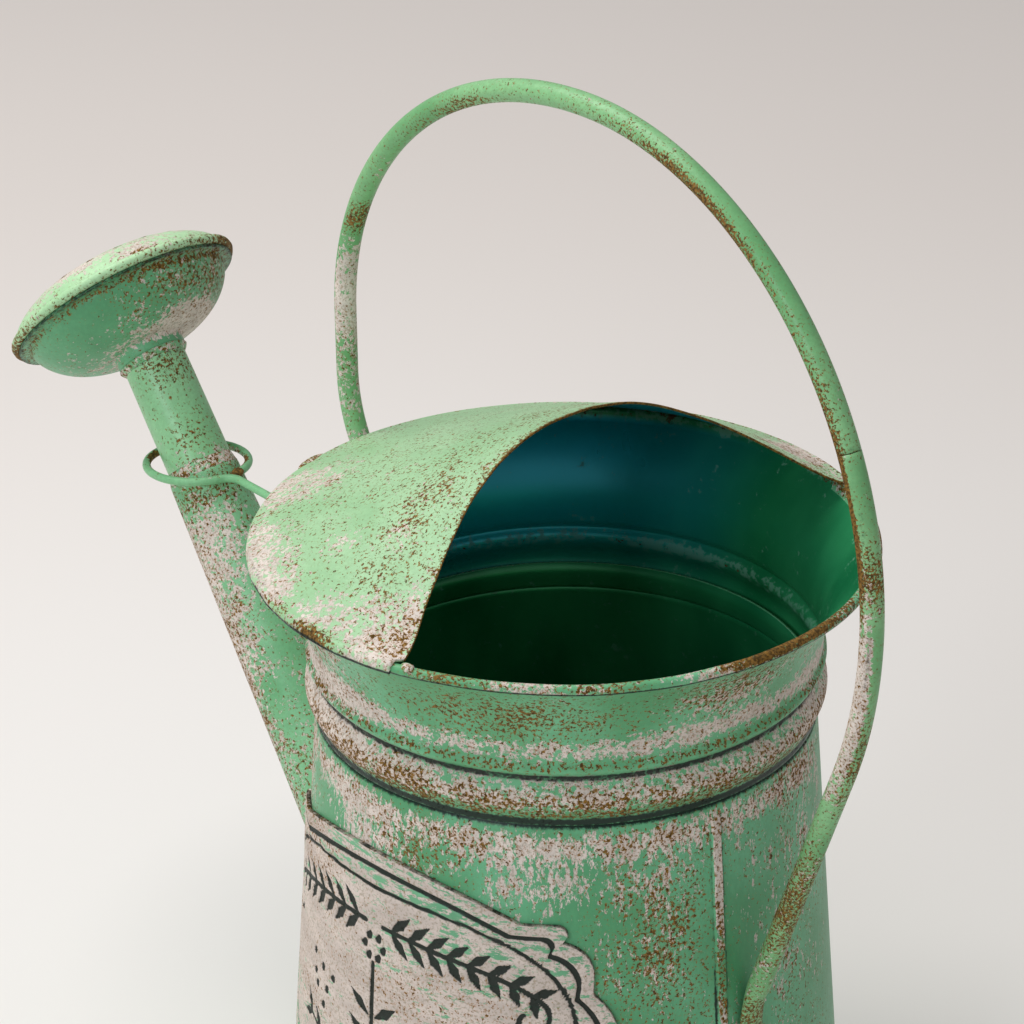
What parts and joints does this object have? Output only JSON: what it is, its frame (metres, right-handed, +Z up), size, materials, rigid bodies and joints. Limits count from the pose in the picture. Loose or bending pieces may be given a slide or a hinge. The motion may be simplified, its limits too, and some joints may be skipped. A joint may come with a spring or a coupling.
{
  "type": "watering can",
  "caption": "Weathered sheet-metal watering can with a half-covered mouth, tall bow handle, raked spout and sprinkler rose.",
  "frame": {"origin": "centre of the foot, on the plane the can stands on", "axes": "+Z up along the can's axis, -X towards the spout and rose, +X towards the handle's back leg, -Y towards the label plate"},
  "size_m": [0.3623, 0.177, 0.3487],
  "materials": {
    "can_paint": "worn satin green paint over pale undercoat, with rust specks",
    "base_steel": "scuffed green paint with rust",
    "collar_paint": "worn satin green paint, heavily rust-specked on the beads",
    "hood_paint": "satin green paint, rust specks, pale chips near the rim",
    "spout_paint": "worn satin green paint with pale patches",
    "rose_paint": "worn satin green paint with pale patches",
    "rose_face_paint": "worn satin green paint with rust at the rolled rim",
    "wire_paint": "green paint with rust",
    "handle_paint": "green paint, rust along the inner edge, chipped pale streaks",
    "label_paint": "pale worn plate with dark green in its grooves"
  },
  "bodies": {
    "root": {"body_wall": "can_paint", "base_plate": "base_steel", "neck_collar": "collar_paint", "hood": "hood_paint", "spout_tube": "spout_paint", "rose_neck": "spout_paint", "rose_bowl": "rose_paint", "rose_face": "rose_face_paint", "stay_wire": "wire_paint", "handle_arch": "handle_paint", "handle_leg": "handle_paint", "label_plate": "label_paint"}
  },
  "joints": []
}
